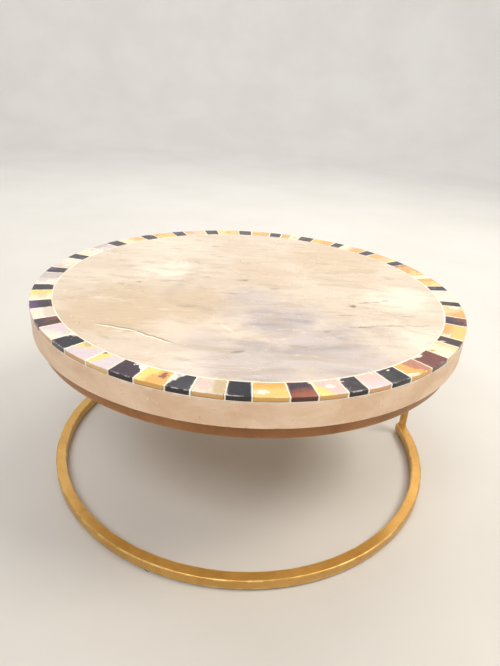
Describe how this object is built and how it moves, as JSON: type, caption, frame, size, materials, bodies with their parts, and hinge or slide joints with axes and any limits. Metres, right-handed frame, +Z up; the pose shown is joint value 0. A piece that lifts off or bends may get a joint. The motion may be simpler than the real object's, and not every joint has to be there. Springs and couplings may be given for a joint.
{
  "type": "lazy susan turntable",
  "caption": "Round marble serving turntable with a tiled rim, turning on a pressed bearing above an open hoop base of square gold bar.",
  "frame": {"origin": "on the table, at the middle of the footprint, under the turning axis", "axes": "+Z up along the turning axis; +X to the right of the side that faces the user, +Y away from them"},
  "size_m": [0.305, 0.305, 0.142],
  "materials": {
    "marble": "honed white marble with faint beige and grey veins",
    "grout": "white filled resin, satin",
    "black_horn": "polished blue-black horn",
    "brown_horn": "polished red-brown horn",
    "amber_horn": "polished amber horn with clouds",
    "cream_shell": "polished cream shell",
    "pearl_shell": "polished grey and lilac pearl shell",
    "gold_lacquer": "satin gold lacquer on steel",
    "zinc_steel": "zinc-plated pressed steel",
    "fastener_steel": "bright zinc",
    "ball_steel": "polished bearing steel",
    "cage_nylon": "natural nylon",
    "anchor_brass": "plain brass",
    "clear_pad": "clear soft vinyl"
  },
  "bodies": {
    "stand": {"lower_hoop": "gold_lacquer", "hoop_pads": "clear_pad", "right_upright": "gold_lacquer", "rear_upright": "gold_lacquer", "upper_ring": "gold_lacquer", "long_strap": "gold_lacquer", "front_half_strap": "gold_lacquer", "rear_half_strap": "gold_lacquer", "bearing_lower_plate": "zinc_steel", "strap_screws": "fastener_steel", "strap_washers": "fastener_steel", "strap_nuts": "fastener_steel"},
    "turntable": {"marble_top": "marble", "resin_grout": "grout", "tiles_black_horn": "black_horn", "tiles_brown_horn": "brown_horn", "tiles_amber_horn": "amber_horn", "tiles_cream_shell": "cream_shell", "tiles_pearl_shell": "pearl_shell", "bearing_upper_plate": "zinc_steel", "marble_anchors": "anchor_brass", "top_screws": "fastener_steel"},
    "ball_train": {"ball_cage": "cage_nylon", "bearing_balls": "ball_steel"}
  },
  "joints": [
    {"name": "top_spin", "type": "hinge", "parent": "stand", "child": "turntable", "pos_m": [0, 0, 0.1195], "axis": [0, 0, 1], "continuous": true},
    {"name": "ball_train_spin", "type": "hinge", "parent": "stand", "child": "ball_train", "pos_m": [0, 0, 0.1195], "axis": [0, 0, 1], "continuous": true}
  ],
  "couplings": [
    {"joint": "ball_train_spin", "follows": "top_spin", "ratio": 0.5}
  ]
}
